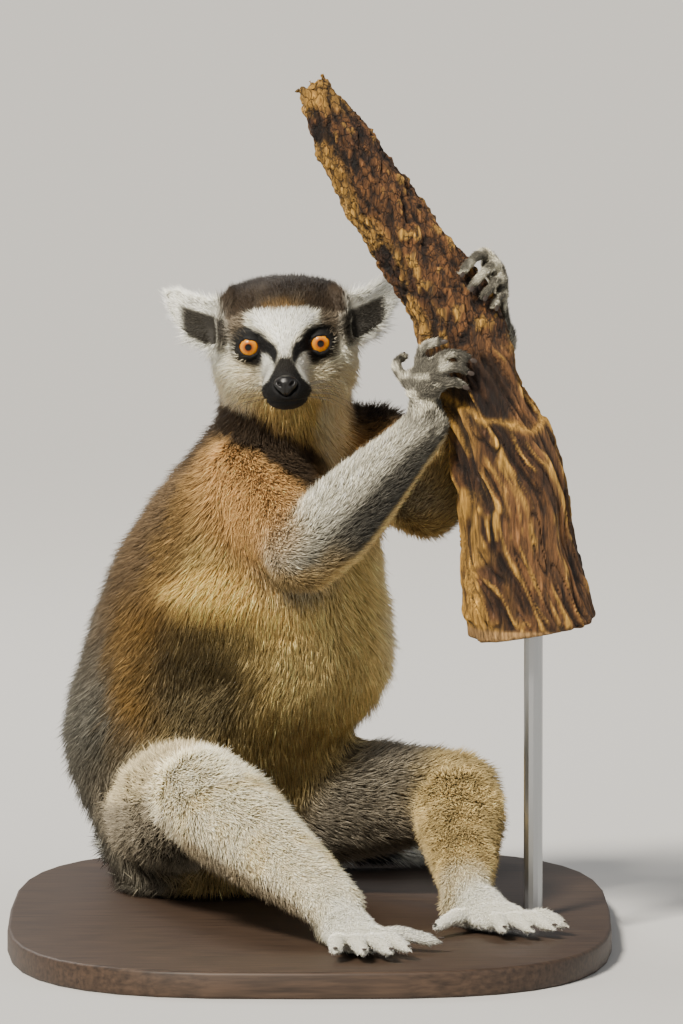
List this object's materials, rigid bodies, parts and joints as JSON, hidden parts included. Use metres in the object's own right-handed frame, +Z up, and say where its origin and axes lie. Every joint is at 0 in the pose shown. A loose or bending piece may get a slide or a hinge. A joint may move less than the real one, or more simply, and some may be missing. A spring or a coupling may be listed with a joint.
{
  "type": "ring-tailed lemur figure on a stand",
  "caption": "Life-size ring-tailed lemur sitting upright on a flat display board, both hands gripping a cut length of upright dead wood.",
  "frame": {"origin": "centre of the underside of the display board, which is the widest thing in the model both ways", "axes": "+Z up; the animal's face looks towards -Y; the dead wood stands at +X; the tail lies folded behind the body at +Y"},
  "size_m": [0.322, 0.564, 0.4658],
  "materials": {
    "coat_head": "short grizzled fur, black eye patches and muzzle, white brow",
    "coat_back": "dense soft brown-grey fur, cream below",
    "coat_grey": "dense grey fur with light tips",
    "coat_white": "soft cream-white fur",
    "coat_black": "black and white rings of fur",
    "nose_leather": "moist, finely pebbled bare skin",
    "eye_amber": "clear wet eye with an orange iris and a round dark pupil",
    "dead_wood": "weathered dry wood, scaly above and streaked below",
    "board_wood": "dark stained board, satin",
    "rod_steel": "plain satin rod"
  },
  "bodies": {
    "root": {"stand_base": "board_wood", "stand_rod": "rod_steel", "perch": "dead_wood", "nose": "nose_leather", "eye_left": "eye_amber", "eye_right": "eye_amber", "head": "coat_head", "ear_left": "coat_white", "ear_right": "coat_white", "neck": "coat_white", "trunk": "coat_back", "upper_arm_right": "coat_grey", "forearm_right": "coat_grey", "hand_right": "coat_grey", "thigh_right": "coat_grey", "shin_right": "coat_white", "foot_right": "coat_white", "upper_arm_left": "coat_grey", "forearm_left": "coat_grey", "hand_left": "coat_grey", "thigh_left": "coat_grey", "shin_left": "coat_white", "foot_left": "coat_white", "tail_root": "coat_grey", "tail_middle": "coat_black", "tail_bend": "coat_white", "tail_tip": "coat_black"}
  },
  "joints": []
}
